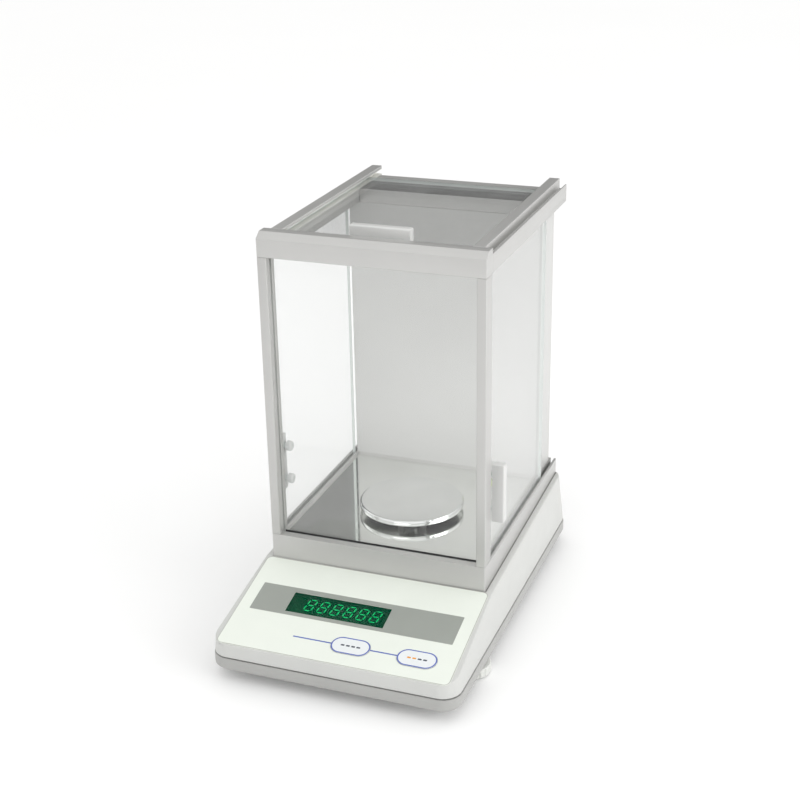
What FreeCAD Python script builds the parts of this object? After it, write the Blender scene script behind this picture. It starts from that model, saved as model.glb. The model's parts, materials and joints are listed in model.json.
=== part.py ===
import FreeCAD, Part
import math
import os

# Analytical balance with a sliding-door draft shield. Millimetres.
# +X is the user's right, +Y points away from the user, +Z is up.
# The origin is on the bench, under the centre of the balance's footprint.

# ---- driving dimensions -------------------------------------------------

CASE_WIDTH = 215.0          # casing, widest at its bottom edge
CASE_LENGTH = 340.0         # casing, front to back
OVERALL_LENGTH = 347.0      # casing front to the ends of the top rails
UNDERSIDE = 10.0            # casing underside above the bench
SEAM = 22.3                 # parting line between lower casing and cover
SEAM_GAP = 1.0
CASE_CORNER = 16.0          # plan corner radius
CASE_WALL = 2.5
CASE_FLOOR = UNDERSIDE + 3.0            # inside of the lower casing's bottom

FRONT = -OVERALL_LENGTH / 2
BACK = OVERALL_LENGTH / 2
CASE_BACK = FRONT + CASE_LENGTH

PANEL_DEPTH = 108.0         # front of the casing to the draft shield
PANEL_LOW = 35.0            # height of the sloping panel's front edge
PANEL_HIGH = 60.2           # height of its back edge
COVER_BACK_TOP = 69.0       # the cover's side edge rises to this at the back
COVER_TOP_HALF = 101.8      # half width of the cover at that height

SHIELD = FRONT + PANEL_DEPTH            # front plane of the draft shield
SHIELD_HALF = 96.6                      # half width of the shield's frame
BASE_TOP = 82.5                         # top of the shield's base frame
BASE_BOTTOM = 56.0
BASE_BACK = SHIELD + 226.5
FLOOR_TOP = 80.0                        # weighing chamber floor
FLOOR_PLATE = 1.2
PLATE_SEAT = FLOOR_TOP - FLOOR_PLATE    # ledge of the base frame under the floor plate
REAR_WALL = SHIELD + 182.0              # chamber side of the rear wall
COLUMN_BACK = SHIELD + 220.7
COLUMN_HALF = 90.5
SHEET = 1.5                             # rear wall and rear cover sheet

POST_INNER = 88.6
POST_DEPTH = 15.5
PANE_HALF = 90.8
PANE = (SHIELD + 7.5, SHIELD + 10.5)    # front pane, front and back face
PANE_LOW = FLOOR_TOP + 0.5
PANE_SLOT = (SHIELD + 7.4, SHIELD + 10.6)
PANE_SLOT_HALF = 91.0
GASKET_LOW = FLOOR_TOP - 0.2
BAR_UNDER = 331.7                       # underside of the top frame
BAR_FACE_TOP = 347.2                    # top of the bars' outer faces
BAR_CROWN = 352.1                       # highest level of the top frame
BAR_DEPTH = 16.0
CROSS_BAR_TOP = 344.0
CROSS_BAR_BACK = SHIELD + 235.4

GLASS = 2.8                             # sliding doors
DOOR_INNER = 91.5                       # chamber side of a side door's glass
DOOR_FRONT = SHIELD + 16.2
DOOR_BACK = SHIELD + 180.5
DOOR_LOW = 77.6
DOOR_HIGH = 336.4
TRACK_LOW = 90.6                        # side door groove, inner and outer face
TRACK_HIGH = 95.2
TRACK_FLOOR = 76.5
TRACK_ROOF = 337.7
LINER = 0.7                             # wall of the plastic track liners

LID_UNDER = 344.7                       # underside of the top door's glass
LID_HALF = 85.6
LID_FRONT = SHIELD + 16.4
LID_BACK = SHIELD + 211.6
LID_SLOT = (344.0, 349.2)               # slot in the rails, low and high
RAIL_INNER = 80.6
SLOT_BOTTOM_X = 86.6

HANDLE_LENGTH = 52.0
HANDLE_DEPTH = 7.5
HANDLE_REACH = 10.6
HANDLE_Y = SHIELD + 29.0                # middle of every handle
HANDLE_Z = 139.0
KNOB_SPREAD = 15.5
KNOB_RADIUS = 4.4
KNOB_HEIGHT = 4.6
KNOB_SHANK = 2.0

PAN_Y = SHIELD + 88.8
PAN_RADIUS = 46.5
PAN_TOP = 89.8
PAN_RIM_LOW = 84.8
PAN_SHEET = 0.9
STEM_RADIUS = 4.0
STEM_TOP = PAN_TOP - PAN_SHEET - 0.05
PAN_SEAT = 83.3                         # top of the cone that the pan's hub sits on

FOOT_X = 94.0
FOOT_Y = SHIELD - 27.5
BUSHING_RADIUS = 6.0
WHEEL_RADIUS = 16.0                     # the wheel stands out past the casing's side
WHEEL_LOW = 1.4
WHEEL_HIGH = 9.4
STUD_RADIUS = 4.0
PAD_RADIUS = 9.0
PAD_HEIGHT = 3.0
REAR_FOOT_X = 82.0
REAR_FOOT_Y = 138.0
REAR_FOOT_RADIUS = 9.0

WINDOW_X = (-59.0, 28.4)                # clear display window in the overlay
WINDOW_S = (49.0, 72.5)
KEY_X = (10.5, 67.3)                    # key centres across the panel
KEY_S = 23.0                            # and up its slope
KEY_LENGTH = 33.2
KEY_WIDTH = 17.6
KEY_GAP = 0.35
OVERLAY = 0.5

CHASSIS_TOP = 19.0
CELL_HALF = 20.0
RECEIVER_BACK = PAN_Y + 8.0
UPRIGHT_FRONT = PAN_Y + 39.0
UPRIGHT_BACK = UPRIGHT_FRONT + 16.0
LEVER_Z = 47.0
PIVOT_Y = UPRIGHT_FRONT + 8.0
COIL_Y = PIVOT_Y + 42.0
COIL_RADIUS = 9.2
GUIDE = 1.4                             # thickness of the parallel guides
VIAL_RADIUS = 6.5
VIAL_X = 47.0
VIAL_Y = REAR_WALL - 22.0

# ---- helpers ------------------------------------------------------------

X_AXIS = FreeCAD.Vector(1, 0, 0)
Y_AXIS = FreeCAD.Vector(0, 1, 0)
Z_AXIS = FreeCAD.Vector(0, 0, 1)
PANEL_TILT = math.degrees(math.atan2(PANEL_HIGH - PANEL_LOW, PANEL_DEPTH))
PANEL_LENGTH = math.hypot(PANEL_HIGH - PANEL_LOW, PANEL_DEPTH)


def point(x, y, z):
    return FreeCAD.Vector(x, y, z)


def block(x, y, z):
    """Box between two bounds along each axis."""
    return Part.makeBox(x[1] - x[0], y[1] - y[0], z[1] - z[0], point(x[0], y[0], z[0]))


def both(half):
    return (-half, half)


def rod(radius, start, length, axis=Z_AXIS):
    return Part.makeCylinder(radius, length, start, axis)


def tube(outer, inner, start, length, axis=Z_AXIS):
    return rod(outer, start, length, axis).cut(rod(inner, start, length, axis))


def soften(shape, radius, along):
    """Fillet the straight edges that run along one axis."""
    edges = []
    for edge in shape.Edges:
        if isinstance(edge.Curve, Part.Line) and abs(edge.Curve.Direction.dot(along)) > 0.999:
            edges.append(edge)
    return shape.makeFillet(radius, edges)


def rounded_block(x, y, z, radius, along=Z_AXIS):
    return soften(block(x, y, z), radius, along)


def prism(corners, direction):
    """Extrude a closed polygon."""
    wire = Part.makePolygon(corners + [corners[0]])
    return Part.Face(wire).extrude(direction)


def side_prism(corners, low, high):
    """Polygon of (y, z) corners extruded across the width."""
    return prism([point(low, y, z) for y, z in corners], X_AXIS * (high - low))


def rail_prism(corners, low, high):
    """Polygon of (x, z) corners extruded front to back."""
    return prism([point(x, low, z) for x, z in corners], Y_AXIS * (high - low))


def rounded_outline(half, front, back, corner, height):
    """Closed wire: a rectangle with round corners, lying flat."""
    flat = rounded_block(both(half), (front, back), (height, height + 1), corner)
    lowest = min(flat.Faces, key=lambda face: face.CenterOfMass.z)
    return lowest.OuterWire


def revolved(corners, centre_y):
    """Polygon of (radius, z) corners turned about a vertical axis."""
    wire = Part.makePolygon([point(r, 0, z) for r, z in corners + [corners[0]]])
    turned = Part.Face(wire).revolve(point(0, 0, 0), Z_AXIS, 360)
    turned.translate(point(0, centre_y, 0))
    return turned


def fused(shapes):
    return shapes[0].multiFuse(shapes[1:]).removeSplitter()


def group(shapes):
    return Part.makeCompound(shapes)


def mirrored(shape):
    return shape.mirror(point(0, 0, 0), X_AXIS)


def pair(shape):
    return group([shape, mirrored(shape)])


def on_panel(shape):
    """Move a shape made as (across, up the slope, outward) onto the panel."""
    placed = shape.copy()
    placed.rotate(point(0, 0, 0), X_AXIS, PANEL_TILT)
    placed.translate(point(0, FRONT, PANEL_LOW))
    return placed


def pill(centre, length, width, low, high):
    """Flat block with half-round ends, along X."""
    reach = (length - width) / 2
    core = block(
        (centre[0] - reach, centre[0] + reach),
        (centre[1] - width / 2, centre[1] + width / 2),
        (low, high),
    )
    ends = []
    for side in (-1, 1):
        ends.append(rod(width / 2, point(centre[0] + side * reach, centre[1], low), high - low))
    return fused([core] + ends)


# ---- casing -------------------------------------------------------------

SCREW_PLACES = [(-92, -164), (92, -164), (-99.5, 20), (99.5, 20), (-80, 159), (80, 159)]
BOSS_RADIUS = 4.3
BOSS_SPLIT = 25.0
SCREW_HOLE = 1.6
VENT_X = 62.0                           # middle of each row of slots under the casing
CHASSIS_HALF = 38.0
CHASSIS_FRONT = -40.0
CHASSIS_BACK = 132.0


def tongue(low):
    """Inner ring that closes the parting gap behind the cover's edge."""
    z = (low, BOSS_SPLIT)
    ring = []
    for inset in (CASE_WALL + 1.6, CASE_WALL + 2.8):
        ring.append(rounded_block(
            both(CASE_WIDTH / 2 - inset), (FRONT + inset, CASE_BACK - inset), z, CASE_CORNER - inset
        ))
    return ring[0].cut(ring[1])


def lower_casing():
    rim = SEAM - SEAM_GAP / 2
    outer = rounded_block(both(CASE_WIDTH / 2), (FRONT, CASE_BACK), (UNDERSIDE, rim), CASE_CORNER)
    bottom_edges = [edge for edge in outer.Edges if edge.BoundBox.ZMax < UNDERSIDE + 0.1]
    outer = outer.makeChamfer(2.5, bottom_edges)
    hollow = rounded_block(
        both(CASE_WIDTH / 2 - CASE_WALL), (FRONT + CASE_WALL, CASE_BACK - CASE_WALL),
        (CASE_FLOOR, rim + 1), CASE_CORNER - CASE_WALL,
    )
    tray = outer.cut(hollow)
    parts = [tongue(CASE_FLOOR - 1)]
    cuts = []
    for x, y in SCREW_PLACES:
        parts.append(rod(BOSS_RADIUS, point(x, y, CASE_FLOOR - 1), BOSS_SPLIT - CASE_FLOOR + 1))
        cuts.append(rod(SCREW_HOLE, point(x, y, UNDERSIDE - 1), 20))
        cuts.append(rod(3.4, point(x, y, UNDERSIDE - 1), 3))
    for side in (-1, 1):
        cuts.append(rod(BUSHING_RADIUS, point(side * FOOT_X, FOOT_Y, UNDERSIDE - 1), 6))
        cuts.append(rod(2.0, point(side * REAR_FOOT_X, REAR_FOOT_Y, UNDERSIDE - 1), 6))
        for row in range(6):
            y = 40 + row * 8
            x = side * VENT_X
            cuts.append(block((x - 14, x + 14), (y, y + 3), (UNDERSIDE - 1, CASE_FLOOR + 1)))
    return tray.fuse(parts).cut(cuts).removeSplitter()


def cover_volume(inset, drop):
    """The cover's outer form, or its inner form when inset."""
    low = SEAM + SEAM_GAP / 2 - drop
    top = 72.0
    base = rounded_outline(
        CASE_WIDTH / 2 - 0.5 - inset, FRONT + inset, CASE_BACK - inset, CASE_CORNER - inset, low
    )
    crown = rounded_outline(
        COVER_TOP_HALF - inset, FRONT + inset, CASE_BACK - 1.2 - inset, CASE_CORNER - inset, top
    )
    tapered = Part.makeLoft([base, crown], True, True)
    lean = inset * math.tan(math.radians(PANEL_TILT))
    side = side_prism(
        [
            (FRONT - 1, low),
            (FRONT - 1, PANEL_LOW - inset - lean),
            (FRONT, PANEL_LOW - inset),
            (SHIELD, PANEL_HIGH - inset),
            (CASE_BACK + 1, COVER_BACK_TOP - inset),
            (CASE_BACK + 1, low),
        ],
        -CASE_WIDTH, CASE_WIDTH,
    )
    return tapered.common(side)


def upper_cover():
    shell = cover_volume(0, 0).cut(cover_volume(CASE_WALL, 5))
    bosses = []
    for x, y in SCREW_PLACES:
        bosses.append(tube(BOSS_RADIUS, SCREW_HOLE - 0.1, point(x, y, BOSS_SPLIT + 0.2), 28))
    shell = shell.fuse(cover_volume(1.0, 5).common(group(bosses)))
    opening = block(both(SHIELD_HALF + 0.3), (SHIELD, BASE_BACK + 0.3), (40, 90))
    window = on_panel(block(
        (WINDOW_X[0] - 3, WINDOW_X[1] + 3), (WINDOW_S[0] - 3, WINDOW_S[1] + 3), (-8, 8)
    ))
    cuts = [opening, window]
    for x in KEY_X:
        cuts.append(on_panel(pill((x, KEY_S), KEY_LENGTH - 8, KEY_WIDTH - 8, -8, 8)))
    cuts.append(block((39, 69), (CASE_BACK - 8, CASE_BACK + 2), (34, 56)))
    cuts.append(block((-62, -40), (CASE_BACK - 8, CASE_BACK + 2), (39, 50)))
    return shell.cut(cuts)


def keypad_overlay():
    sheet = rounded_block(both(100.7), (1.5, PANEL_LENGTH - 1.0), (0, OVERLAY), 5.0)
    cuts = [block(WINDOW_X, WINDOW_S, (-1, 2))]
    for x in KEY_X:
        grown = pill((x, KEY_S), KEY_LENGTH + 2 * KEY_GAP, KEY_WIDTH + 2 * KEY_GAP, -1, 2)
        cuts.append(grown)
    return on_panel(sheet.cut(cuts))


def display_window():
    return on_panel(block(
        (WINDOW_X[0] - 2.9, WINDOW_X[1] + 2.9), (WINDOW_S[0] - 2.9, WINDOW_S[1] + 2.9), (-2.2, 0)
    ))


def key(index):
    """A membrane key: printed cap with its actuator post behind it."""
    x = KEY_X[index]
    cap = pill((x, KEY_S), KEY_LENGTH, KEY_WIDTH, 0.55, 0.95)
    post = rod(3.2, point(x, KEY_S, -9.0), 9.6)
    return on_panel(cap.fuse(post).removeSplitter())


BOARD_TOP = -14.4
BOARD_BOTTOM = -16.0


def display_board():
    return on_panel(block((-90, 90), (14, 82), (BOARD_BOTTOM, BOARD_TOP)))


def display_tube():
    """Fluorescent display tube on its two rows of lead pins."""
    glass = rounded_block((-60, 29.5), (48, 73.5), (-11.0, -4.5), 1.5, X_AXIS)
    pins = []
    for index in range(12):
        for s in (50.5, 71.0):
            pins.append(rod(0.4, point(-56 + index * 7.4, s, BOARD_TOP), 4.0))
    return on_panel(glass.fuse(pins).removeSplitter())


def key_switches():
    switches = []
    for x in KEY_X:
        base = block((x - 3, x + 3), (KEY_S - 3, KEY_S + 3), (BOARD_TOP, BOARD_TOP + 3.6))
        switches.append(on_panel(base.fuse(rod(1.7, point(x, KEY_S, BOARD_TOP + 3.6), 1.0)).removeSplitter()))
    return group(switches)


def board_standoffs():
    pillars = []
    for x in (-85, 85):
        for s in (36, 78):
            pillars.append(on_panel(rod(2.5, point(x, s, BOARD_TOP), -BOARD_TOP - CASE_WALL)))
    for x in (-92, -50):
        for y in (-34, 112):
            pillars.append(rod(2.5, point(x, y, CASE_FLOOR), 11))
    return group(pillars)


# ---- feet ---------------------------------------------------------------

def foot_bushing():
    flange = rod(BUSHING_RADIUS + 2, point(FOOT_X, FOOT_Y, CASE_FLOOR), 1.5)
    barrel = rod(BUSHING_RADIUS, point(FOOT_X, FOOT_Y, UNDERSIDE), 15.0)
    bore = rod(STUD_RADIUS + 0.06, point(FOOT_X, FOOT_Y, UNDERSIDE - 1), 20)
    return flange.fuse(barrel).cut(bore).removeSplitter()


def foot_wheel():
    """Finger wheel on its stud, hollowed underneath so that the pad can sit up inside it."""
    centre = point(FOOT_X, FOOT_Y, WHEEL_LOW)
    disc = rod(WHEEL_RADIUS, centre, WHEEL_HIGH - WHEEL_LOW)
    edges = [edge for edge in disc.Edges if isinstance(edge.Curve, Part.Circle)]
    disc = disc.makeChamfer(0.8, edges)
    notches = []
    count = 18
    for step in range(count):
        angle = 2 * math.pi * (step + 0.5) / count
        spot = centre + point(math.cos(angle), math.sin(angle), 0) * (WHEEL_RADIUS + 0.9)
        notches.append(rod(1.7, spot - Z_AXIS, WHEEL_HIGH - WHEEL_LOW + 2))
    recess = rod(PAD_RADIUS + 0.8, centre - Z_AXIS, PAD_HEIGHT + 0.4 - WHEEL_LOW + 1)
    stud = rod(STUD_RADIUS, point(FOOT_X, FOOT_Y, 1.6), 24.0)
    return disc.cut(notches + [recess]).fuse(stud).removeSplitter()


def foot_pad():
    pad = Part.makeCone(PAD_RADIUS, PAD_RADIUS - 1.2, PAD_HEIGHT, point(FOOT_X, FOOT_Y, 0))
    return pad.cut(rod(STUD_RADIUS + 0.1, point(FOOT_X, FOOT_Y, PAD_HEIGHT / 2), PAD_HEIGHT))


def rear_foot():
    rubber = Part.makeCone(REAR_FOOT_RADIUS, REAR_FOOT_RADIUS + 1, UNDERSIDE,
                           point(REAR_FOOT_X, REAR_FOOT_Y, 0))
    recess = rod(4.0, point(REAR_FOOT_X, REAR_FOOT_Y, -1), 5)
    return rubber.cut(recess)


def casing_screws():
    screws = []
    for x, y in SCREW_PLACES:
        head = rod(3.0, point(x, y, UNDERSIDE + 0.1), 1.9)
        shank = rod(SCREW_HOLE - 0.1, point(x, y, UNDERSIDE + 2), 20.0)
        cross = block((x - 1.8, x + 1.8), (y - 0.4, y + 0.4), (UNDERSIDE, UNDERSIDE + 1))
        other = block((x - 0.4, x + 0.4), (y - 1.8, y + 1.8), (UNDERSIDE, UNDERSIDE + 1))
        screws.append(head.fuse(shank).cut([cross, other]).removeSplitter())
    return group(screws)


# ---- draft shield frame -------------------------------------------------

def base_frame():
    body = rounded_block(both(SHIELD_HALF), (SHIELD, BASE_BACK), (BASE_BOTTOM, BASE_TOP), 1.2)
    cuts = [
        block(both(89.5), (SHIELD + 11.2, REAR_WALL), (PLATE_SEAT, BASE_TOP + 1)),
        block(both(89.5), (SHIELD + 6.8, SHIELD + 11.3), (GASKET_LOW, BASE_TOP + 1)),
        block(both(PANE_SLOT_HALF), PANE_SLOT, (PANE_LOW, BASE_TOP + 1)),
        block(both(84), (SHIELD + 9, BASE_BACK - 8), (BASE_BOTTOM - 1, 75)),
        rod(16, point(0, PAN_Y, 70), 20),
        block((TRACK_LOW, TRACK_HIGH), (SHIELD + 15.7, BASE_BACK + 1), (TRACK_FLOOR, BASE_TOP + 1)),
        block((-TRACK_HIGH, -TRACK_LOW), (SHIELD + 15.7, BASE_BACK + 1), (TRACK_FLOOR, BASE_TOP + 1)),
    ]
    legs = []
    for x in (-90, 90):
        for y in (SHIELD + 17.5, BASE_BACK - 13):
            legs.append(rod(5, point(x, y, CASE_FLOOR), BASE_BOTTOM - CASE_FLOOR + 1))
    return body.cut(cuts).fuse(legs).removeSplitter()


def chamber_floor():
    plate = block(both(89.3), (SHIELD + 11.4, REAR_WALL - 0.2), (PLATE_SEAT, FLOOR_TOP))
    lip = rod(13.2, point(0, PAN_Y, FLOOR_TOP - 0.5), 1.7)
    vial_hole = rod(VIAL_RADIUS + 0.1, point(VIAL_X, VIAL_Y, 70), 20)
    return plate.fuse(lip).cut([rod(12.2, point(0, PAN_Y, 70), 20), vial_hole]).removeSplitter()


def front_post():
    z = (BASE_TOP, BAR_UNDER)
    post = rounded_block((POST_INNER, SHIELD_HALF), (SHIELD, SHIELD + POST_DEPTH), z, 0.8)
    groove = block((POST_INNER - 1, PANE_SLOT_HALF), PANE_SLOT, z)
    core = block((92.2, 95.1), (SHIELD + 1.6, SHIELD + POST_DEPTH - 1.6), z)
    return post.cut([groove, core])


def front_glass():
    return block(both(PANE_HALF), PANE, (PANE_LOW, BAR_UNDER + 2.9))


def front_glass_gasket():
    y = (SHIELD + 6.8, SHIELD + 11.2)
    strip = block(both(POST_INNER), y, (GASKET_LOW, BASE_TOP - 0.2))
    return strip.cut(block(both(PANE_SLOT_HALF), PANE, (PANE_LOW, BASE_TOP + 1)))


def top_front_bar():
    back = SHIELD + BAR_DEPTH
    bar = side_prism(
        [
            (SHIELD, BAR_UNDER),
            (SHIELD, BAR_FACE_TOP),
            (SHIELD + 6.5, BAR_CROWN),
            (back, BAR_CROWN),
            (back, BAR_UNDER),
        ],
        -SHIELD_HALF, SHIELD_HALF,
    )
    return bar.cut(block(both(PANE_SLOT_HALF), PANE_SLOT, (BAR_UNDER - 1, BAR_UNDER + 3.3)))


def top_rail():
    slot_low, slot_high = LID_SLOT
    section = [
        (SHIELD_HALF, BAR_UNDER),
        (SHIELD_HALF, BAR_FACE_TOP),
        (TRACK_HIGH, BAR_FACE_TOP),
        (TRACK_HIGH, 343.2),
        (90.2, 343.2),
        (90.2, BAR_CROWN),
        (RAIL_INNER, BAR_CROWN),
        (RAIL_INNER, slot_high),
        (SLOT_BOTTOM_X, slot_high),
        (SLOT_BOTTOM_X, slot_low),
        (RAIL_INNER, slot_low),
        (RAIL_INNER, BAR_UNDER),
        (TRACK_LOW, BAR_UNDER),
        (TRACK_LOW, TRACK_ROOF),
        (TRACK_HIGH, TRACK_ROOF),
        (TRACK_HIGH, BAR_UNDER),
    ]
    return rail_prism(section, SHIELD + BAR_DEPTH, BACK)


def top_rear_bar():
    z = (BAR_UNDER, CROSS_BAR_TOP)
    bar = block(both(RAIL_INNER), (REAR_WALL, CROSS_BAR_BACK), z)
    hollow = block(both(RAIL_INNER - 3), (REAR_WALL + 3, CROSS_BAR_BACK - 3), (z[0] - 1, z[1] - 3))
    return bar.cut(hollow)


def rear_wall():
    return block(both(COLUMN_HALF), (REAR_WALL, REAR_WALL + SHEET), (BASE_TOP, BAR_UNDER))


def rear_post():
    z = (BASE_TOP, BAR_UNDER)
    y = (REAR_WALL + SHEET, COLUMN_BACK - SHEET)
    post = block((74, COLUMN_HALF), y, z)
    return post.cut(block((76, COLUMN_HALF - 2), (y[0] + 2, y[1] - 2), z))


COVER_SCREWS = [(x, z) for x in (-82, 82) for z in (95, 207, 319)]


def rear_cover():
    sheet = block(both(COLUMN_HALF), (COLUMN_BACK - SHEET, COLUMN_BACK), (BASE_TOP, BAR_UNDER))
    slots = []
    for row in range(8):
        z = 268 + row * 6
        slots.append(block(both(30), (COLUMN_BACK - 3, COLUMN_BACK + 1), (z, z + 2.4)))
    return sheet.cut(slots)


def rear_cover_screws():
    screws = []
    for x, z in COVER_SCREWS:
        head = Part.makeCone(3.1, 2.2, 1.6, point(x, COLUMN_BACK, z), Y_AXIS)
        cross = block((x - 1.6, x + 1.6), (COLUMN_BACK + 0.8, COLUMN_BACK + 2), (z - 0.4, z + 0.4))
        other = block((x - 0.4, x + 0.4), (COLUMN_BACK + 0.8, COLUMN_BACK + 2), (z - 1.6, z + 1.6))
        screws.append(head.cut([cross, other]))
    return group(screws)


def channel(x, y, z, wall, opening):
    """U-shaped liner: a block with a groove open up, down or inward."""
    body = block(x, y, z)
    if opening == "up":
        groove = block((x[0] + wall, x[1] - wall), y, (z[0] + wall, z[1] + 1))
    elif opening == "down":
        groove = block((x[0] + wall, x[1] - wall), y, (z[0] - 1, z[1] - wall))
    else:
        groove = block((x[0] - 1, x[1] - wall), y, (z[0] + wall, z[1] - wall))
    return body.cut(groove)


def side_door_tracks():
    x = (TRACK_LOW, TRACK_HIGH)
    low = channel(x, (SHIELD + 15.7, BASE_BACK), (TRACK_FLOOR, BASE_TOP), LINER, "up")
    high = channel(x, (SHIELD + BAR_DEPTH, BACK), (BAR_UNDER, TRACK_ROOF), LINER, "down")
    return group([low, high, mirrored(low), mirrored(high)])


def top_door_tracks():
    liner = channel((RAIL_INNER, SLOT_BOTTOM_X), (SHIELD + BAR_DEPTH, BACK), LID_SLOT, 0.4, "in")
    return pair(liner)


def rear_seal():
    y = (REAR_WALL + 1.0, REAR_WALL + 29.0)
    return block(both(RAIL_INNER - 0.5), y, (CROSS_BAR_TOP, CROSS_BAR_TOP + 0.4))


# ---- sliding doors ------------------------------------------------------

def side_door_glass():
    x = (DOOR_INNER, DOOR_INNER + GLASS)
    sheet = block(x, (DOOR_FRONT, DOOR_BACK), (DOOR_LOW, DOOR_HIGH))
    holes = []
    for side in (-1, 1):
        spot = point(DOOR_INNER - 1, HANDLE_Y, HANDLE_Z + side * KNOB_SPREAD)
        holes.append(rod(KNOB_SHANK + 0.2, spot, GLASS + 2, X_AXIS))
    return sheet.cut(holes)


def side_door_handle():
    face = DOOR_INNER + GLASS
    x = (face, face + HANDLE_REACH)
    y = (HANDLE_Y - HANDLE_DEPTH / 2, HANDLE_Y + HANDLE_DEPTH / 2)
    grip = block(x, y, (HANDLE_Z - HANDLE_LENGTH / 2, HANDLE_Z + HANDLE_LENGTH / 2))
    outer_edges = [edge for edge in grip.Edges if edge.BoundBox.XMin > x[1] - 0.01]
    grip = grip.makeFillet(1.6, outer_edges)
    holes = []
    for side in (-1, 1):
        spot = point(face - 1, HANDLE_Y, HANDLE_Z + side * KNOB_SPREAD)
        holes.append(rod(KNOB_SHANK, spot, 8, X_AXIS))
    return grip.cut(holes)


def knob(spot, axis, shank):
    """Domed nut on the chamber side with its screw through the glass."""
    dome = rod(KNOB_RADIUS, spot, KNOB_HEIGHT, axis * -1)
    rim = [edge for edge in dome.Edges if isinstance(edge.Curve, Part.Circle)]
    rim.sort(key=lambda edge: (edge.Curve.Center - spot).Length)
    dome = dome.makeFillet(1.5, rim[-1:])
    return dome.fuse(rod(KNOB_SHANK, spot, shank, axis)).removeSplitter()


def side_door_knobs():
    knobs = []
    for side in (-1, 1):
        spot = point(DOOR_INNER, HANDLE_Y, HANDLE_Z + side * KNOB_SPREAD)
        knobs.append(knob(spot, X_AXIS, GLASS + 6))
    return group(knobs)


def top_door_glass():
    sheet = block(both(LID_HALF), (LID_FRONT, LID_BACK), (LID_UNDER, LID_UNDER + GLASS))
    holes = []
    for side in (-1, 1):
        spot = point(side * KNOB_SPREAD, HANDLE_Y, LID_UNDER - 1)
        holes.append(rod(KNOB_SHANK + 0.2, spot, GLASS + 2))
    return sheet.cut(holes)


def top_door_handle():
    face = LID_UNDER + GLASS
    y = (HANDLE_Y - HANDLE_DEPTH / 2, HANDLE_Y + HANDLE_DEPTH / 2)
    grip = block(both(HANDLE_LENGTH / 2), y, (face, face + HANDLE_REACH))
    outer_edges = [edge for edge in grip.Edges if edge.BoundBox.ZMin > face + HANDLE_REACH - 0.01]
    grip = grip.makeFillet(1.6, outer_edges)
    holes = []
    for side in (-1, 1):
        spot = point(side * KNOB_SPREAD, HANDLE_Y, face - 1)
        holes.append(rod(KNOB_SHANK, spot, 8))
    return grip.cut(holes)


def top_door_knobs():
    knobs = []
    for side in (-1, 1):
        spot = point(side * KNOB_SPREAD, HANDLE_Y, LID_UNDER)
        knobs.append(knob(spot, Z_AXIS, GLASS + 6))
    return group(knobs)


# ---- weighing pan and force cell ----------------------------------------

def weighing_pan():
    under = PAN_TOP - PAN_SHEET
    shell = revolved(
        [
            (0, PAN_TOP - 0.5),
            (43.5, PAN_TOP - 0.5),
            (44.6, PAN_TOP),
            (45.6, PAN_TOP - 0.3),
            (PAN_RADIUS, PAN_TOP - 1.8),
            (PAN_RADIUS, PAN_RIM_LOW + 0.8),
            (45.9, PAN_RIM_LOW),
            (45.2, PAN_RIM_LOW + 0.6),
            (45.2, under - 1.0),
            (44.0, under - 0.5),
            (0, under - 0.5),
        ],
        PAN_Y,
    )
    hub_low = PAN_SEAT + 0.1
    hub = tube(6.5, STEM_RADIUS + 0.06, point(0, PAN_Y, hub_low), under - hub_low)
    return shell.fuse(hub).removeSplitter()


def pan_support():
    """Conical stainless carrier on the load receiver's stem."""
    cone = Part.makeCone(7.5, 10.5, 1.6, point(0, PAN_Y, PAN_SEAT - 1.6))
    pin = rod(STEM_RADIUS, point(0, PAN_Y, PAN_SEAT - 1.0), STEM_TOP - 0.5 - PAN_SEAT + 1.0)
    socket = rod(2.5, point(0, PAN_Y, PAN_SEAT - 7), 6.0)
    neck = rod(6.0, point(0, PAN_Y, PAN_SEAT - 6.0), 5.0)
    return cone.fuse([pin, neck]).cut(socket).removeSplitter()


def load_receiver():
    hanger = block(both(10), (PAN_Y - 8, RECEIVER_BACK), (33, 62))
    stem = rod(4.5, point(0, PAN_Y, 61), PAN_SEAT - 6.0 - 61)
    spigot = rod(2.5, point(0, PAN_Y, 76), 6.2)
    return hanger.fuse([stem, spigot]).removeSplitter()


def guide(z):
    """Guide strip with a round end on its bending axis."""
    axis_y = UPRIGHT_FRONT - 0.4 - GUIDE / 2
    strip = block(both(14), (RECEIVER_BACK + 0.4, axis_y), (z, z + GUIDE))
    end = rod(GUIDE / 2, point(-14, axis_y, z + GUIDE / 2), 28, X_AXIS)
    return strip.fuse(end).removeSplitter()


def cell_frame():
    base = block(both(CELL_HALF), (PAN_Y - 14, COIL_Y + 30), (CHASSIS_TOP, 27))
    upright = block(both(CELL_HALF), (UPRIGHT_FRONT, UPRIGHT_BACK), (26, 68))
    window = block(both(8), (UPRIGHT_FRONT - 1, UPRIGHT_BACK + 1), (LEVER_Z - 7, LEVER_Z + 7))
    return base.fuse(upright).cut(window).removeSplitter()


def lever():
    beam = block(both(5), (RECEIVER_BACK + 1.0, COIL_Y + 6), (LEVER_Z - 3, LEVER_Z + 3))
    vane = block(both(3.5), (COIL_Y + 5, COIL_Y + 19), (LEVER_Z - 0.8, LEVER_Z + 0.8))
    pivot = rod(3.6, point(-7.6, PIVOT_Y, LEVER_Z), 15.2, X_AXIS)
    return beam.fuse([vane, pivot]).removeSplitter()


def force_coil():
    return tube(COIL_RADIUS + 0.9, COIL_RADIUS - 0.9, point(0, COIL_Y, 36), LEVER_Z - 3 - 36)


def magnet_pot():
    top = 42.0
    pot = rod(16, point(0, COIL_Y, 27), top - 27)
    gap = tube(COIL_RADIUS + 1.8, COIL_RADIUS - 1.8, point(0, COIL_Y, 32), 12)
    return pot.cut(gap)


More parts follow.
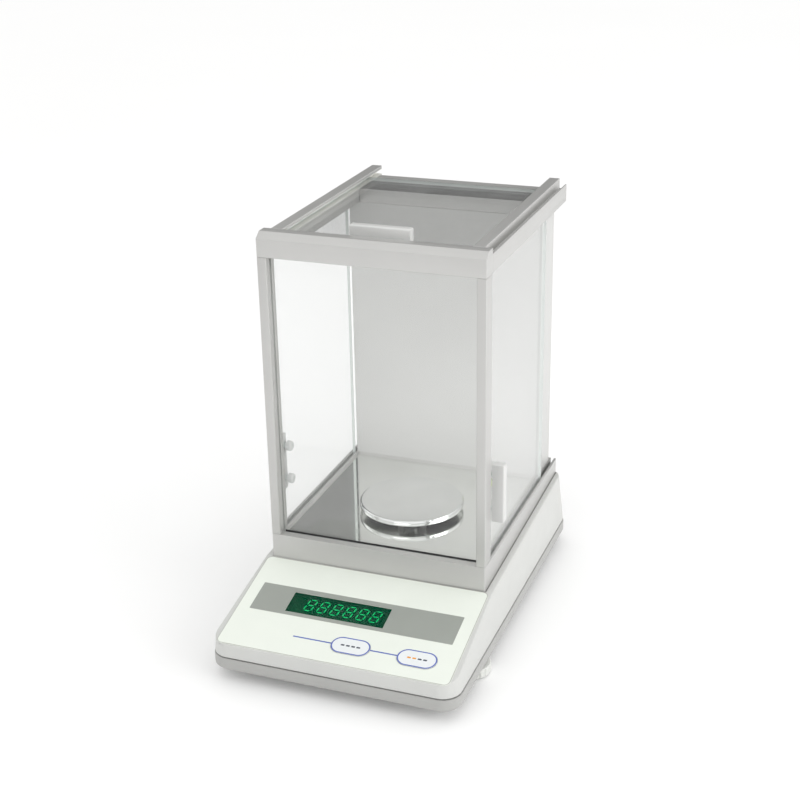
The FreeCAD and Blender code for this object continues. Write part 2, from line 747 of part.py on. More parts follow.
def position_sensor():
    y = (COIL_Y + 16.5, COIL_Y + 25)
    body = block(both(7), y, (27, 56))
    return body.cut(block(both(8), (y[0] - 1, y[1] - 3), (LEVER_Z - 3, LEVER_Z + 3)))


def chassis_plate():
    plate = block(both(CHASSIS_HALF), (CHASSIS_FRONT, CHASSIS_BACK), (UNDERSIDE + 4, CHASSIS_TOP))
    feet = []
    for x in (-30, 30):
        for y in (CHASSIS_FRONT + 8, CHASSIS_BACK - 8):
            feet.append(rod(5, point(x, y, CASE_FLOOR), 2))
    return plate.fuse(feet).removeSplitter()


def level_vial():
    body = rod(VIAL_RADIUS, point(VIAL_X, VIAL_Y, PLATE_SEAT), 3.3)
    dome = rod(VIAL_RADIUS - 1.5, point(VIAL_X, VIAL_Y, FLOOR_TOP + 1.5), 1.4)
    return body.fuse(dome).removeSplitter()


# ---- electronics --------------------------------------------------------

SOCKET_WALL = CASE_BACK - 3.3           # inside of the cover's back, behind the sockets

def main_board():
    low = UNDERSIDE + 14
    board = block((-93.5, -46), (-38, 116), (low, low + 1.6))
    chips = []
    for x, y, wide, deep, tall in (
        (-80, -10, 18, 18, 3), (-62, 30, 12, 20, 3.5), (-84, 62, 14, 30, 9), (-60, 90, 10, 10, 14)
    ):
        chip_top = low + 1.6 + tall
        chips.append(block((x - wide / 2, x + wide / 2), (y - deep / 2, y + deep / 2), (low, chip_top)))
    return board.fuse(chips).removeSplitter()


def transformer():
    core = rounded_block((48, 92), (72, 110), (UNDERSIDE + 3, UNDERSIDE + 38), 1.0)
    winding = rounded_block((54, 86), (64, 118), (UNDERSIDE + 9, UNDERSIDE + 32), 3.0)
    return core.fuse(winding).removeSplitter()


def power_inlet():
    body = block((40, 68), (SOCKET_WALL - 22, SOCKET_WALL + 3), (35, 55))
    mouth = rounded_block((42.5, 65.5), (SOCKET_WALL - 12, SOCKET_WALL + 4), (38, 52), 2.0, Y_AXIS)
    pins = []
    for x, z in ((47, 46.5), (54, 43), (61, 46.5)):
        pins.append(block((x - 1, x + 1), (SOCKET_WALL - 13, SOCKET_WALL - 5), (z - 2, z + 2)))
    return body.cut(mouth).fuse(pins).removeSplitter()


def data_port():
    body = block((-61, -41), (SOCKET_WALL - 10, SOCKET_WALL + 2.5), (39.5, 49.5))
    mouth = block((-58.5, -43.5), (SOCKET_WALL - 2, SOCKET_WALL + 4), (41.5, 47.5))
    return body.cut(mouth)


# ---- export -------------------------------------------------------------

NODES = {
    "lower_casing": lower_casing(),
    "upper_cover": upper_cover(),
    "keypad_overlay": keypad_overlay(),
    "display_window": display_window(),
    "display_tube": display_tube(),
    "display_board": display_board(),
    "key_switches": key_switches(),
    "board_standoffs": board_standoffs(),
    "key_left": key(0),
    "key_right": key(1),
    "foot_bushings": pair(foot_bushing()),
    "foot_wheel_right": foot_wheel(),
    "foot_wheel_left": mirrored(foot_wheel()),
    "foot_pad_right": foot_pad(),
    "foot_pad_left": mirrored(foot_pad()),
    "rear_feet": pair(rear_foot()),
    "casing_screws": casing_screws(),
    "base_frame": base_frame(),
    "chamber_floor": chamber_floor(),
    "front_post_right": front_post(),
    "front_post_left": mirrored(front_post()),
    "front_glass": front_glass(),
    "front_glass_gasket": front_glass_gasket(),
    "top_front_bar": top_front_bar(),
    "top_rail_right": top_rail(),
    "top_rail_left": mirrored(top_rail()),
    "top_rear_bar": top_rear_bar(),
    "rear_wall": rear_wall(),
    "rear_post_right": rear_post(),
    "rear_post_left": mirrored(rear_post()),
    "rear_cover": rear_cover(),
    "rear_cover_screws": rear_cover_screws(),
    "side_door_tracks": side_door_tracks(),
    "top_door_tracks": top_door_tracks(),
    "rear_seal": rear_seal(),
    "right_door_glass": side_door_glass(),
    "right_door_handle": side_door_handle(),
    "right_door_knobs": side_door_knobs(),
    "left_door_glass": mirrored(side_door_glass()),
    "left_door_handle": mirrored(side_door_handle()),
    "left_door_knobs": mirrored(side_door_knobs()),
    "top_door_glass": top_door_glass(),
    "top_door_handle": top_door_handle(),
    "top_door_knobs": top_door_knobs(),
    "weighing_pan": weighing_pan(),
    "pan_support": pan_support(),
    "load_receiver": load_receiver(),
    "upper_guide": guide(58.0),
    "lower_guide": guide(35.0),
    "cell_frame": cell_frame(),
    "lever": lever(),
    "force_coil": force_coil(),
    "magnet_pot": magnet_pot(),
    "position_sensor": position_sensor(),
    "chassis_plate": chassis_plate(),
    "level_vial": level_vial(),
    "main_board": main_board(),
    "transformer": transformer(),
    "power_inlet": power_inlet(),
    "data_port": data_port(),
}

os.makedirs("parts", exist_ok=True)
for name, shape in NODES.items():
    shape.exportStep(os.path.join("parts", name + ".step"))
    print(f"{name:22s} solids {len(shape.Solids):2d}  volume {shape.Volume / 1000:9.2f} cm3")
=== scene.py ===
import json
import math

import bmesh
import bpy
from mathutils import Matrix, Vector

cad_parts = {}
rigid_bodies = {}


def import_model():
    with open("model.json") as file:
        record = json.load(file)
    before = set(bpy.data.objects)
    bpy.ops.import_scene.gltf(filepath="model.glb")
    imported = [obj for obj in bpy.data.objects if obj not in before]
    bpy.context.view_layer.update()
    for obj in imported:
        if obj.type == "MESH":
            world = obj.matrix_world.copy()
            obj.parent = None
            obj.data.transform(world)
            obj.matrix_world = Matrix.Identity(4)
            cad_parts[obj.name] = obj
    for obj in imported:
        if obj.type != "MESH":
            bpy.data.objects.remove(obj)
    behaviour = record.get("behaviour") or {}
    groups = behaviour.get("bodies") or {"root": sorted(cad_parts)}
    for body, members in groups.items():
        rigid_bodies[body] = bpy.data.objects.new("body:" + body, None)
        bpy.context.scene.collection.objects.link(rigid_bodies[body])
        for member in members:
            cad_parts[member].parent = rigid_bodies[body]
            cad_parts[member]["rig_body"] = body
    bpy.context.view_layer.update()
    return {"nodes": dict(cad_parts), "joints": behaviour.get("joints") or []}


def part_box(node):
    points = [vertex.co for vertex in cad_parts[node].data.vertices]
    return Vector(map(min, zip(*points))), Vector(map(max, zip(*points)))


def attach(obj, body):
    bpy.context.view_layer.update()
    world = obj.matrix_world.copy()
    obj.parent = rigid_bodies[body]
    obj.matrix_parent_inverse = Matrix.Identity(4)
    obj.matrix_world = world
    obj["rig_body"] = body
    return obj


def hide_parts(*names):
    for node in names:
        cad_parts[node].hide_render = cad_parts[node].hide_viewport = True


# An analytical balance, put together from its rubber feet up to the glass doors and the pan.
# Metres, +X to the user's right, +Y away from the user, +Z up, the bench at z = 0.

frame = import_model()
nodes = frame["nodes"]

# ---- Camera ---------------------------------------------------------------
# A long lens a little above the bench, looking down on the balance's front and right side.
# The picture is turned by about a degree, as from a tripod that isn't quite level.

EYE = Vector((0.4140, -1.0875, 0.6789))
AIM = Vector((0.0022, -0.0075, 0.1975))
LEAN = math.radians(-1.07)

sight = (AIM - EYE).normalized()
level_right = sight.cross(Vector((0, 0, 1))).normalized()
level_up = level_right.cross(sight)
right = level_right * math.cos(LEAN) + level_up * math.sin(LEAN)
up = level_up * math.cos(LEAN) - level_right * math.sin(LEAN)
lens = bpy.data.cameras.new("camera")
lens.lens = 66.4
lens.sensor_width = 36.0
lens.clip_start = 0.05
lens.clip_end = 60.0
camera = bpy.data.objects.new("camera", lens)
camera.matrix_world = Matrix.Translation(EYE) @ Matrix((right, up, -sight)).transposed().to_4x4()
bpy.context.scene.collection.objects.link(camera)
bpy.context.scene.camera = camera

# ---- Lower casing ---------------------------------------------------------
# The tray that carries everything: white ABS, injection moulded, with a fine spark-eroded
# grain, a chamfered lower edge, cooling slots and six screw bosses. Its white is set darker
# than the cover's as painted shade, for the shade low down on the casing.


def step(tree, kind, inputs=None, **attributes):
    """Add a node to a tree, set its values and join its inputs."""
    made = tree.nodes.new(kind)
    for name, value in attributes.items():
        setattr(made, name, value)
    for key, value in (inputs or {}).items():
        if isinstance(value, bpy.types.NodeSocket):
            tree.links.new(value, made.inputs[key])
        else:
            made.inputs[key].default_value = value
    return made


def new_finish(name, **constants):
    """A material whose constant values sit on its shader's own sockets."""
    finish = bpy.data.materials.new(name)
    finish.use_nodes = True
    shader = finish.node_tree.nodes["Principled BSDF"]
    for socket, value in constants.items():
        shader.inputs[socket.replace("_", " ")].default_value = value
    return finish


def shader_of(finish):
    return finish.node_tree.nodes["Principled BSDF"]


def grain(finish, pitch, stretch=(1, 1, 1), detail=2.0):
    """Noise fixed to the piece, about one pitch from bump to bump."""
    tree = finish.node_tree
    place = step(tree, "ShaderNodeTexCoord").outputs["Object"]
    stretched = step(tree, "ShaderNodeMapping", {"Vector": place, "Scale": stretch}).outputs["Vector"]
    noise = step(tree, "ShaderNodeTexNoise", {"Vector": stretched, "Scale": 1 / pitch, "Detail": detail})
    return noise.outputs["Fac"]


def tint(finish, pattern, dark, light, socket="Base Color"):
    """Colour that follows a pattern between two shades."""
    tree = finish.node_tree
    spread = step(tree, "ShaderNodeMapRange", {"Value": pattern, "From Min": 0.3, "From Max": 0.7})
    shades = {0: spread.outputs[0], 6: (*dark, 1), 7: (*light, 1)}
    mixed = step(tree, "ShaderNodeMix", shades, data_type="RGBA")
    tree.links.new(mixed.outputs[2], shader_of(finish).inputs[socket])


def vary(finish, pattern, low, high, socket="Roughness"):
    """A number that follows a pattern between two values."""
    tree = finish.node_tree
    spread = step(tree, "ShaderNodeMapRange", {
        "Value": pattern, "From Min": 0.3, "From Max": 0.7, "To Min": low, "To Max": high,
    })
    tree.links.new(spread.outputs[0], shader_of(finish).inputs[socket])


def emboss(finish, pattern, height, strength=1.0):
    """Surface relief of a given height from a pattern."""
    tree = finish.node_tree
    relief = step(tree, "ShaderNodeBump", {"Height": pattern, "Distance": height, "Strength": strength})
    tree.links.new(relief.outputs["Normal"], shader_of(finish).inputs["Normal"])


def moulded(name, colour, roughness, pitch=0.0006, height=0.00002, change=0.03, **constants):
    """Moulded plastic: an even grain, slightly cloudy colour and uneven gloss."""
    finish = new_finish(name, **constants)
    darker = [c * (1 - change) for c in colour]
    tint(finish, grain(finish, 0.03, detail=4.0), darker, colour)
    vary(finish, grain(finish, 0.012, detail=5.0), roughness - 0.05, roughness + 0.05)
    emboss(finish, grain(finish, pitch), height)
    return finish


def clean_copy(node, name):
    """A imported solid's mesh, welded and with its flat faces made whole."""
    form = bmesh.new()
    form.from_mesh(nodes[node].data)
    bmesh.ops.remove_doubles(form, verts=form.verts, dist=2e-6)
    bmesh.ops.dissolve_limit(form, angle_limit=math.radians(0.5), verts=form.verts, edges=form.edges)
    mesh = bpy.data.meshes.new(name)
    form.to_mesh(mesh)
    form.free()
    return mesh


def stand_in(piece, node, finishes):
    """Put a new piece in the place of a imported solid."""
    piece.data.materials.clear()
    for finish in finishes:
        piece.data.materials.append(finish)
    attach(piece, nodes[node]["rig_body"])
    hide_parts(node)
    return piece


def placed(name, mesh):
    """A new object for a mesh whose vertices are already in place."""
    piece = bpy.data.objects.new(name, mesh)
    bpy.context.scene.collection.objects.link(piece)
    return piece


def eased(node, finish, radius, segments=3):
    """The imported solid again, with every sharp edge rounded to a small radius."""
    name = node + "_eased"
    mesh = clean_copy(node, name)
    piece = placed(name, mesh)
    for face in mesh.polygons:
        face.use_smooth = True
    bevel = piece.modifiers.new("eased_edges", "BEVEL")
    bevel.width = radius
    bevel.segments = segments
    bevel.limit_method = "ANGLE"
    bevel.angle_limit = math.radians(30)
    bevel.use_clamp_overlap = False
    bevel.harden_normals = True
    return stand_in(piece, node, [finish])


def dress(finish, *names):
    """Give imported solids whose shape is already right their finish."""
    for name in names:
        for place in nodes[name].material_slots:
            place.material = finish


# The same white plastic as the cover, with its colour set darker as painted shade.
tray_white_painted_shade = moulded("tray_white_painted_shade", (0.42, 0.42, 0.407), 0.42)
eased("lower_casing", tray_white_painted_shade, 0.0005)

# ---- Casing screws and rear feet ------------------------------------------
# Cross-head screws, zinc plated steel, driven up from below into the cover's bosses.
# The two rear feet are moulded rubber, pressed on their pegs.


def plated(name, colour, roughness, pitch=0.0015, **constants):
    """Plated or turned metal with fine wear in its gloss."""
    finish = new_finish(name, Metallic=1.0, **constants)
    tint(finish, grain(finish, pitch * 6, detail=4.0), [c * 0.85 for c in colour], colour)
    vary(finish, grain(finish, pitch, detail=5.0), roughness - 0.07, roughness + 0.07)
    emboss(finish, grain(finish, pitch / 4), 0.000005)
    return finish


screw_steel = plated("screw_steel", (0.62, 0.63, 0.64), 0.3)
dress(screw_steel, "casing_screws")
foot_rubber = moulded("foot_rubber", (0.035, 0.035, 0.037), 0.75, pitch=0.0008, height=0.00004, change=0.4)
eased("rear_feet", foot_rubber, 0.0005)

# ---- Levelling feet -------------------------------------------------------
# A white notched finger wheel moulded round an M8 stud, which turns in a brass bushing in the
# casing and stands in a rubber pad. The wheel's rim stands out past the casing's side.

wheel_plastic = moulded("wheel_plastic", (0.72, 0.73, 0.70), 0.45)
brass_turned = plated("brass_turned", (0.78, 0.58, 0.28), 0.25)
dress(brass_turned, "foot_bushings")
dress(foot_rubber, "foot_pad_left", "foot_pad_right")
dress(wheel_plastic, "foot_wheel_left", "foot_wheel_right")

# ---- Chassis and force cell -----------------------------------------------
# The weighing cell: milled aluminium frame, guides, lever and receiver, with a copper coil
# in a soft iron magnet pot and an optical sensor behind it. All of it is inside the casing.


def machined(name, colour, roughness, along):
    """Milled metal with fine tool marks along one direction."""
    finish = new_finish(name, Metallic=1.0)
    marks = grain(finish, 0.0006, stretch=along, detail=3.0)
    tint(finish, grain(finish, 0.02, detail=3.0), [c * 0.92 for c in colour], colour)
    vary(finish, marks, roughness - 0.06, roughness + 0.06)
    emboss(finish, marks, 0.00001)
    return finish


milled = machined("milled_aluminium", (0.80, 0.81, 0.82), 0.32, (1, 0.03, 1))
dress(milled, "chassis_plate", "cell_frame", "load_receiver", "upper_guide", "lower_guide", "lever")
soft_iron = machined("soft_iron", (0.32, 0.32, 0.33), 0.4, (1, 1, 0.05))
dress(soft_iron, "magnet_pot")
black_plastic = moulded("black_plastic", (0.02, 0.02, 0.021), 0.4, change=0.3)
dress(black_plastic, "position_sensor")
copper = plated("copper_wire", (0.85, 0.42, 0.22), 0.28)
dress(copper, "force_coil")

# ---- Electronics ----------------------------------------------------------
# Main board on brass pillars, a small mains transformer, and the mains and data sockets.
# Green solder mask on glass fibre; the transformer has a laminated core.

board_green = moulded("board_green", (0.03, 0.22, 0.09), 0.3, pitch=0.002, change=0.3, Coat_Weight=0.4)
dress(board_green, "main_board", "display_board")
dress(brass_turned, "board_standoffs")
dress(soft_iron, "transformer")
dress(black_plastic, "power_inlet", "key_switches")
dress(screw_steel, "data_port")

# ---- Display --------------------------------------------------------------
# A vacuum fluorescent tube with six slanting figures, behind a green filter window. The
# panel's own frame is across, up the slope and out of it, from the cover's front edge.

panel_low, panel_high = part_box("keypad_overlay")
press = next(joint["axis"] for joint in frame["joints"] if joint["name"] == "key_left_press")
OVERLAY = 0.0005                 # thickness of the keypad film
MARGIN = 0.0015                  # from the cover's front edge to the film
slope = Vector((0, -press[2], press[1]))
outward = Vector((0, -press[1], -press[2]))
panel_corner = Vector((0, panel_low.y + OVERLAY * press[1], panel_low.z)) - slope * MARGIN
PANEL = Matrix((Vector((1, 0, 0)), slope, outward)).transposed().to_4x4()
PANEL.translation = panel_corner

tube_dark = moulded("tube_glass", (0.004, 0.03, 0.018), 0.1, change=0.2)
dress(tube_dark, "display_tube")
filter_green = moulded("filter_green", (0.0, 0.09, 0.045), 0.1, height=0.000004)


def see_through(finish, colour, share):
    """Let part of the light straight through a finish, as through a thin sheet."""
    tree = finish.node_tree
    clear = step(tree, "ShaderNodeBsdfTransparent", {"Color": (*colour, 1)})
    mix = step(tree, "ShaderNodeMixShader", {
        0: share, 1: clear.outputs[0], 2: shader_of(finish).outputs[0],
    })
    tree.links.new(mix.outputs[0], tree.nodes["Material Output"].inputs["Surface"])


see_through(filter_green, (0.25, 0.95, 0.7), 0.42)
dress(filter_green, "display_window")

figure_light = new_finish("figure_light", Base_Color=(0.02, 0.3, 0.15, 1), Roughness=0.5)
shader_of(figure_light).inputs["Emission Color"].default_value = (0.10, 0.85, 0.45, 1)
vary(figure_light, grain(figure_light, 0.0008), 1.5, 2.1, "Emission Strength")


def new_tree(name, sizes):
    """An empty Geometry Nodes tree with named inputs."""
    tree = bpy.data.node_groups.new(name, "GeometryNodeTree")
    tree.interface.new_socket("Geometry", in_out="OUTPUT", socket_type="NodeSocketGeometry")
    for size, value in sizes.items():
        kind = "NodeSocketInt" if isinstance(value, int) else "NodeSocketFloat"
        tree.interface.new_socket(size, in_out="INPUT", socket_type=kind).default_value = value
    return tree


def grown(name, tree, geometry, finish, sizes, place=Matrix.Identity(4)):
    """Run a tree on an empty object and keep its result as a plain mesh."""
    whole = step(tree, "GeometryNodeRealizeInstances", {0: geometry})
    painted = step(tree, "GeometryNodeSetMaterial", {0: whole.outputs[0], "Material": finish})
    end = tree.nodes.new("NodeGroupOutput")
    tree.links.new(painted.outputs[0], end.inputs[0])
    seed = placed(name + "_seed", bpy.data.meshes.new(name + "_seed"))
    run = seed.modifiers.new("grow", "NODES")
    run.node_group = tree
    for item in tree.interface.items_tree:
        if item.item_type == "SOCKET" and item.in_out == "INPUT":
            run[item.identifier] = sizes[item.name]
    bpy.context.view_layer.update()
    grown_up = seed.evaluated_get(bpy.context.evaluated_depsgraph_get())
    mesh = bpy.data.meshes.new_from_object(grown_up)
    bpy.data.objects.remove(seed)
    mesh.transform(place)
    if not mesh.materials:
        mesh.materials.append(finish)
    return placed(name, mesh)


FIGURES = {"Figures": 6, "Pitch": 0.0117, "Height": 0.0128, "Width": 0.0066, "Stroke": 0.0013, "Slant": 0.17}
tree = new_tree("seven_segment_row", FIGURES)
given = tree.nodes.new("NodeGroupInput").outputs


def number(tree, operation, *values):
    """One arithmetic step between sizes."""
    return step(tree, "ShaderNodeMath", dict(enumerate(values)), operation=operation).outputs[0]


def bar(tree, length, x, y, turn):
    """One segment: a flat bar with pointed ends."""
    blank = step(tree, "GeometryNodeMeshCircle", {"Vertices": 6, "Radius": 0.5}, fill_type="NGON")
    size = step(tree, "ShaderNodeCombineXYZ", {0: length, 1: given["Stroke"], 2: 1.0})
    flat = step(tree, "GeometryNodeTransform", {0: blank.outputs[0], "Scale": size.outputs[0]})
    spot = step(tree, "ShaderNodeCombineXYZ", {0: x, 1: y})
    return step(tree, "GeometryNodeTransform", {
        0: flat.outputs[0], "Translation": spot.outputs[0], "Rotation": (0, 0, turn),
    }).outputs[0]


half_width = number(tree, "MULTIPLY", given["Width"], 0.5)
half_height = number(tree, "MULTIPLY", given["Height"], 0.5)
quarter = number(tree, "MULTIPLY", given["Height"], 0.25)
gap = number(tree, "MULTIPLY", given["Stroke"], 0.7)
upright = number(tree, "SUBTRACT", half_height, gap)
across = number(tree, "SUBTRACT", given["Width"], gap)
left_edge = number(tree, "MULTIPLY", half_width, -1.0)
lower = number(tree, "MULTIPLY", quarter, -1.0)
bottom = number(tree, "MULTIPLY", half_height, -1.0)
figure = step(tree, "GeometryNodeJoinGeometry")
for length, x, y, turn in (
    (across, 0.0, half_height, 0), (across, 0.0, 0.0, 0), (across, 0.0, bottom, 0),
    (upright, left_edge, quarter, math.pi / 2), (upright, half_width, quarter, math.pi / 2),
    (upright, left_edge, lower, math.pi / 2), (upright, half_width, lower, math.pi / 2),
):
    tree.links.new(bar(tree, length, x, y, turn), figure.inputs[0])
spot = step(tree, "GeometryNodeInputPosition")
parts = step(tree, "ShaderNodeSeparateXYZ", {0: spot.outputs[0]})
shift = step(tree, "ShaderNodeCombineXYZ", {0: number(tree, "MULTIPLY", parts.outputs[1], given["Slant"])})
slanted = step(tree, "GeometryNodeSetPosition", {0: figure.outputs[0], "Offset": shift.outputs[0]})
pitch = step(tree, "ShaderNodeCombineXYZ", {0: given["Pitch"]})
row = step(tree, "GeometryNodeMeshLine", {"Count": given["Figures"], "Offset": pitch.outputs[0]})
figures = step(tree, "GeometryNodeInstanceOnPoints", {0: row.outputs[0], "Instance": slanted.outputs[0]})
FIRST_FIGURE = (-0.0425, 0.0648, -0.0044)      # just in front of the tube's glass
display_place = PANEL @ Matrix.Translation(FIRST_FIGURE)
display_figures = grown("display_figures", tree, figures.outputs[0], figure_light, FIGURES, display_place)
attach(display_figures, "housing")

# ---- Upper cover ----------------------------------------------------------
# The white cover that snaps over the tray: a sloping desk in front and a flat deck round
# the draft shield. Same plastic and grain as the tray, whose darker colour is painted shade.

casing_white = moulded("casing_white", (0.61, 0.615, 0.597), 0.42)
eased("upper_cover", casing_white, 0.0010)

# ---- Keypad film ----------------------------------------------------------
# A printed polyester film glued to the desk: pale ground, a grey band round the display,
# a thin dark border and a blue line that joins the two keys.


def printed(name, loops, low, high, finish, body):
    """A thin sheet on the desk, from closed outlines; inner outlines are holes."""
    outline = bpy.data.curves.new(name, "CURVE")
    outline.dimensions = "2D"
    outline.fill_mode = "BOTH"
    outline.extrude = (high - low) / 2
    for loop in loops:
        line = outline.splines.new("POLY")
        line.points.add(len(loop) - 1)
        line.use_cyclic_u = True
        for spot, (x, s) in zip(line.points, loop):
            spot.co = (x, s, 0, 1)
    drawn = placed(name + "_line", outline)
    bpy.context.view_layer.update()
    mesh = bpy.data.meshes.new_from_object(drawn.evaluated_get(bpy.context.evaluated_depsgraph_get()))
    bpy.data.objects.remove(drawn)
    mesh.transform(PANEL @ Matrix.Translation((0, 0, (low + high) / 2)))
    mesh.materials.clear()
    mesh.materials.append(finish)
    piece = placed(name, mesh)
    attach(piece, body)
    return piece


def round_box(x, s, radius, steps=8):
    """Closed outline of a rectangle with round corners."""
    loop = []
    for cx, cs, start in (
        (x[1] - radius, s[1] - radius, 0), (x[0] + radius, s[1] - radius, 90),
        (x[0] + radius, s[0] + radius, 180), (x[1] - radius, s[0] + radius, 270),
    ):
        for turn in range(steps + 1):
            angle = math.radians(start + 90 * turn / steps)
            loop.append((cx + radius * math.cos(angle), cs + radius * math.sin(angle)))
    return loop


def pill(centre, length, width, steps=12):
    """Closed outline with half-round ends."""
    x, s = centre
    sides = (x - length / 2, x + length / 2), (s - width / 2, s + width / 2)
    return round_box(*sides, width / 2 - 1e-6, steps)


film_length = (Vector((0, panel_high.y, panel_high.z)) - panel_corner).dot(slope)
FILM_X = (panel_low.x, panel_high.x)
FILM_S = (MARGIN, film_length)
WINDOW_X = (-0.0590, 0.0284)
WINDOW_S = (0.0490, 0.0725)
KEY_CENTRES = {"left": (0.0105, 0.0230), "right": (0.0673, 0.0230)}
KEY_SIZE = (0.0332, 0.0176)
INK = 0.00004                    # thickness of a printed layer

film_ground = moulded("film_ground", (0.83, 0.87, 0.80), 0.38, pitch=0.0004, height=0.000006, change=0.02)
film_grey = moulded("film_grey", (0.33, 0.35, 0.32), 0.4, pitch=0.0004, height=0.000006, change=0.03)
film_border = moulded("film_border", (0.42, 0.42, 0.39), 0.4, change=0.1)
film_blue = moulded("film_blue", (0.11, 0.16, 0.50), 0.4, change=0.1)
film_dark = moulded("film_dark", (0.06, 0.07, 0.10), 0.4, change=0.1)
film_orange = moulded("film_orange", (0.85, 0.35, 0.03), 0.4, change=0.1)

openings = [round_box(WINDOW_X, WINDOW_S, 0.0006)]
for centre in KEY_CENTRES.values():
    openings.append(pill(centre, KEY_SIZE[0] + 0.0007, KEY_SIZE[1] + 0.0007))
outlines = [round_box(FILM_X, FILM_S, 0.005)] + openings
keypad_film = printed("keypad_film", outlines, 0, OVERLAY, film_ground, "housing")
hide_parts("keypad_overlay")


def inset(x, s, amount, radius):
    """The film's outline, drawn a little further in."""
    return round_box((x[0] + amount, x[1] - amount), (s[0] + amount, s[1] - amount), radius)


TOP = OVERLAY + INK
printed("film_edge_print", [inset(FILM_X, FILM_S, 0.0001, 0.0049), inset(FILM_X, FILM_S, 0.0006, 0.0044)],
        OVERLAY, TOP, film_border, "housing")
printed("film_band_print", [round_box((-0.0896, 0.0896), (0.0450, 0.0775), 0.0008),
                            round_box(WINDOW_X, WINDOW_S, 0.0006)],
        OVERLAY, TOP, film_grey, "housing")
LINE = 0.00065                   # half the blue line's width
for name, x in (("film_line_print_left", (-0.0400, -0.0064)), ("film_line_print_right", (0.0274, 0.0504))):
    printed(name, [round_box(x, (0.0230 - LINE, 0.0230 + LINE), 0.0003)],
            OVERLAY, TOP, film_blue, "housing")

# ---- Keys -----------------------------------------------------------------
# Two embossed zones of the keypad with a blue outline. Short dashes stand where the key
# captions are. Each zone gives by half a millimetre onto a switch behind the desk.

key_film = moulded("key_film", (0.82, 0.85, 0.86), 0.35, pitch=0.0004, height=0.000006, change=0.02)
CAP_TOP = 0.00095
DASHES = {
    "left": [(-0.0068, film_dark), (-0.0023, film_dark), (0.0023, film_dark), (0.0068, film_dark)],
    "right": [(-0.0068, film_orange), (-0.0023, film_orange), (0.0023, film_dark), (0.0068, film_dark)],
}
for side, (x, s) in KEY_CENTRES.items():
    body = "key_" + side
    dress(key_film, body)
    ring = [pill((x, s), *KEY_SIZE), pill((x, s), KEY_SIZE[0] - 0.0022, KEY_SIZE[1] - 0.0022)]
    printed(body + "_outline", ring, CAP_TOP, CAP_TOP + INK, film_blue, body)
    for index, (place, ink) in enumerate(DASHES[side]):
        dash = round_box((x + place - 0.0016, x + place + 0.0016), (s - 0.0008, s + 0.0008), 0.0005)
        printed(f"{body}_dash_{index + 1}", [dash], CAP_TOP, CAP_TOP + INK, ink, body)

# ---- Draft shield base and tracks -----------------------------------------
# A cast aluminium frame in satin grey paint that carries the shield. The side doors run in
# its two grooves, which are lined with grey nylon.


def painted(name, along, colour=(0.57, 0.567, 0.555)):
    """Satin grey paint on extruded aluminium, with faint draw lines under it."""
    finish = new_finish(name, Metallic=0.5)
    lines = grain(finish, 0.0012, stretch=along, detail=3.0)
    tint(finish, grain(finish, 0.05, detail=4.0), [c * 0.97 for c in colour], colour)
    vary(finish, lines, 0.33, 0.43)
    emboss(finish, lines, 0.000008)
    return finish


paint_across = painted("frame_paint_across", (0.04, 1, 1))
paint_along = painted("frame_paint_along", (1, 0.04, 1))
paint_upright = painted("frame_paint_upright", (1, 1, 0.04))
dress(paint_across, "base_frame")
nylon_grey = moulded("nylon_grey", (0.36, 0.36, 0.35), 0.5, change=0.1)
dress(nylon_grey, "side_door_tracks")

# ---- Chamber floor and level vial -----------------------------------------
# A polished stainless plate with a raised ring round the pan's stem. A bubble level is let
# into the plate at the back, where the user can see it through the glass.

mirror_steel = new_finish("mirror_steel", Metallic=1.0)
tint(mirror_steel, grain(mirror_steel, 0.05, detail=3.0), (0.84, 0.85, 0.83), (0.90, 0.91, 0.89))
vary(mirror_steel, grain(mirror_steel, 0.012, detail=6.0), 0.03, 0.10)
dress(mirror_steel, "chamber_floor")
vial_liquid = moulded("vial_liquid", (0.40, 0.50, 0.12), 0.08, height=0.000004)
dress(vial_liquid, "level_vial")

# ---- Front glass ----------------------------------------------------------
# Fixed pane between the two front posts, 3 mm float glass with ground edges, on a thin
# black gasket.


def pane(node, thin_axis):
    """A sheet of glass: clear faces, and ground edges with a pale, frosted look."""
    piece = eased(node, glass_clear, 0.00025, segments=1)
    stand_in(piece, node, [glass_clear, glass_edge])
    bevelled = piece.evaluated_get(bpy.context.evaluated_depsgraph_get())
    mesh = bpy.data.meshes.new_from_object(bevelled)
    piece.modifiers.clear()
    piece.data = mesh
    for face in mesh.polygons:
        face.use_smooth = False
        face.material_index = 0 if abs(face.normal[thin_axis]) > 0.99 else 1
    return piece


glass_clear = new_finish("glass_clear", Base_Color=(0.92, 0.95, 0.94, 1), Metallic=0.0, IOR=1.5)
vary(glass_clear, grain(glass_clear, 0.02, detail=5.0), 0.0, 0.05)
glass_tree = glass_clear.node_tree
see = step(glass_tree, "ShaderNodeBsdfTransparent", {"Color": (0.996, 0.998, 0.997, 1)})
facing = step(glass_tree, "ShaderNodeLayerWeight", {"Blend": 0.5}).outputs["Facing"]
steep = step(glass_tree, "ShaderNodeMath", {0: facing, 1: 5.0}, operation="POWER")
mirror = step(glass_tree, "ShaderNodeMapRange", {"Value": steep.outputs[0], "To Min": 0.04, "To Max": 1.0})
skin = step(glass_tree, "ShaderNodeBsdfGlossy", {"Color": (1, 1, 1, 1), "Roughness": 0.02})
blend = step(glass_tree, "ShaderNodeMixShader", {0: mirror.outputs[0], 1: see.outputs[0], 2: skin.outputs[0]})
glass_tree.links.new(blend.outputs[0], glass_tree.nodes["Material Output"].inputs["Surface"])

glass_edge = new_finish("glass_edge", Base_Color=(0.66, 0.70, 0.68, 1), IOR=1.5)
vary(glass_edge, grain(glass_edge, 0.002, detail=4.0), 0.25, 0.45)
emboss(glass_edge, grain(glass_edge, 0.0008), 0.00001)

pane("front_glass", 1)
dress(foot_rubber, "front_glass_gasket")

